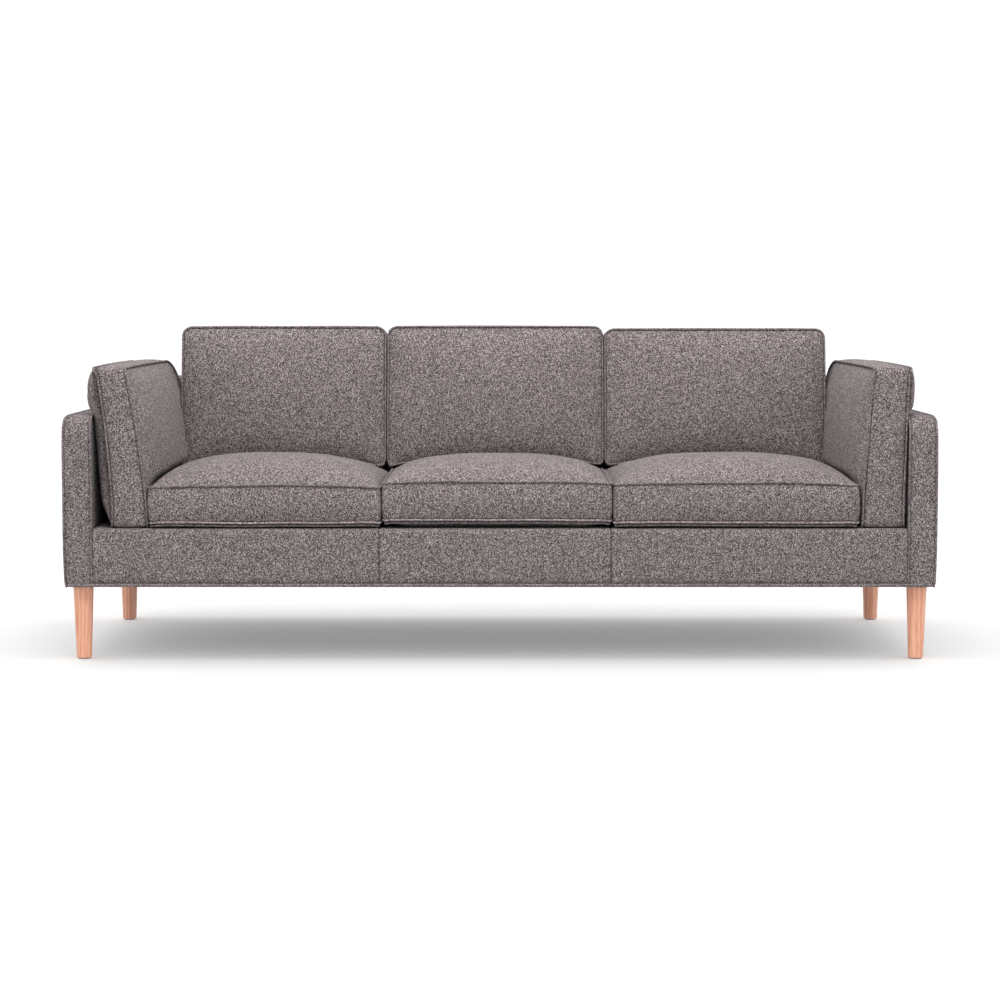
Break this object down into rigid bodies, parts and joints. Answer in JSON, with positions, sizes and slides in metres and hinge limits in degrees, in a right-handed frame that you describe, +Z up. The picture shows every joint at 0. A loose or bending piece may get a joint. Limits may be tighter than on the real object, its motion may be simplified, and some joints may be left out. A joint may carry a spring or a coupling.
{
  "type": "sofa",
  "caption": "Long low sofa with thin slab arms, loose welted seat and back cushions, leaning arm bolsters and round tapered wooden legs.",
  "frame": {"origin": "on the floor, under the middle of the sofa's width and depth", "axes": "+Z up; -Y is the front, where people sit down; +X runs along the sofa to the right of somebody facing it"},
  "size_m": [2.22, 0.89, 0.845],
  "materials": {
    "upholstery": "warm grey bouclé tweed with light and dark flecks, matt",
    "foam": "open-cell foam",
    "deck_cloth": "plain grey platform cloth",
    "dust_cover": "black spunbond cloth",
    "webbing": "woven elastic webbing",
    "frame_wood": "sawn hardwood",
    "hardboard": "tempered hardboard",
    "leg_wood": "light wood with a clear satin lacquer",
    "spring_steel": "bright drawn wire",
    "plated_steel": "zinc plated",
    "nylon_glide": "moulded nylon"
  },
  "bodies": {
    "frame": {"arm_bolts": "plated_steel", "arm_nuts": "plated_steel", "back_brackets": "plated_steel", "back_cover": "upholstery", "back_low_rail": "frame_wood", "back_padding": "foam", "back_top_rail": "frame_wood", "back_uprights": "frame_wood", "back_webbing": "webbing", "bracket_screws": "plated_steel", "centre_stretchers": "frame_wood", "corner_blocks": "frame_wood", "deck_cloth": "deck_cloth", "deck_pad": "foam", "dust_cover": "dust_cover", "front_rail": "frame_wood", "front_rail_cover": "upholstery", "front_rail_padding": "foam", "hanger_bolts": "plated_steel", "left_arm_cover": "upholstery", "left_arm_low_rail": "frame_wood", "left_arm_padding": "foam", "left_arm_panels": "hardboard", "left_arm_posts": "frame_wood", "left_arm_top_rail": "frame_wood", "leg_front_left": "leg_wood", "leg_front_right": "leg_wood", "leg_glides": "nylon_glide", "leg_plate_screws": "plated_steel", "leg_plates": "plated_steel", "leg_rear_left": "leg_wood", "leg_rear_right": "leg_wood", "outside_back_panel": "upholstery", "rear_rail": "frame_wood", "right_arm_cover": "upholstery", "right_arm_low_rail": "frame_wood", "right_arm_padding": "foam", "right_arm_panels": "hardboard", "right_arm_posts": "frame_wood", "right_arm_top_rail": "frame_wood", "seat_springs": "spring_steel", "side_rails": "frame_wood", "spring_clips": "spring_steel", "spring_tie_wires": "spring_steel"},
    "seat_cushion_left": {"seat_left_cover": "upholstery", "seat_left_core": "foam"},
    "back_cushion_left": {"back_left_cover": "upholstery", "back_left_core": "foam"},
    "seat_cushion_centre": {"seat_centre_cover": "upholstery", "seat_centre_core": "foam"},
    "back_cushion_centre": {"back_centre_cover": "upholstery", "back_centre_core": "foam"},
    "seat_cushion_right": {"seat_right_cover": "upholstery", "seat_right_core": "foam"},
    "back_cushion_right": {"back_right_cover": "upholstery", "back_right_core": "foam"},
    "arm_bolster_left": {"bolster_left_cover": "upholstery", "bolster_left_core": "foam"},
    "arm_bolster_right": {"bolster_right_cover": "upholstery", "bolster_right_core": "foam"}
  },
  "joints": [
    {"name": "seat_left_slide", "type": "slide", "parent": "frame", "child": "seat_cushion_left", "axis": [0, -1, 0], "range_m": [0, 0.75]},
    {"name": "seat_centre_slide", "type": "slide", "parent": "frame", "child": "seat_cushion_centre", "axis": [0, -1, 0], "range_m": [0, 0.75]},
    {"name": "seat_right_slide", "type": "slide", "parent": "frame", "child": "seat_cushion_right", "axis": [0, -1, 0], "range_m": [0, 0.75]},
    {"name": "back_left_lift", "type": "slide", "parent": "frame", "child": "back_cushion_left", "axis": [0, 0, 1], "range_m": [0, 0.36]},
    {"name": "back_centre_lift", "type": "slide", "parent": "frame", "child": "back_cushion_centre", "axis": [0, 0, 1], "range_m": [0, 0.36]},
    {"name": "back_right_lift", "type": "slide", "parent": "frame", "child": "back_cushion_right", "axis": [0, 0, 1], "range_m": [0, 0.36]},
    {"name": "bolster_left_lift", "type": "slide", "parent": "frame", "child": "arm_bolster_left", "axis": [0, 0, 1], "range_m": [0, 0.45]},
    {"name": "bolster_right_lift", "type": "slide", "parent": "frame", "child": "arm_bolster_right", "axis": [0, 0, 1], "range_m": [0, 0.45]}
  ]
}
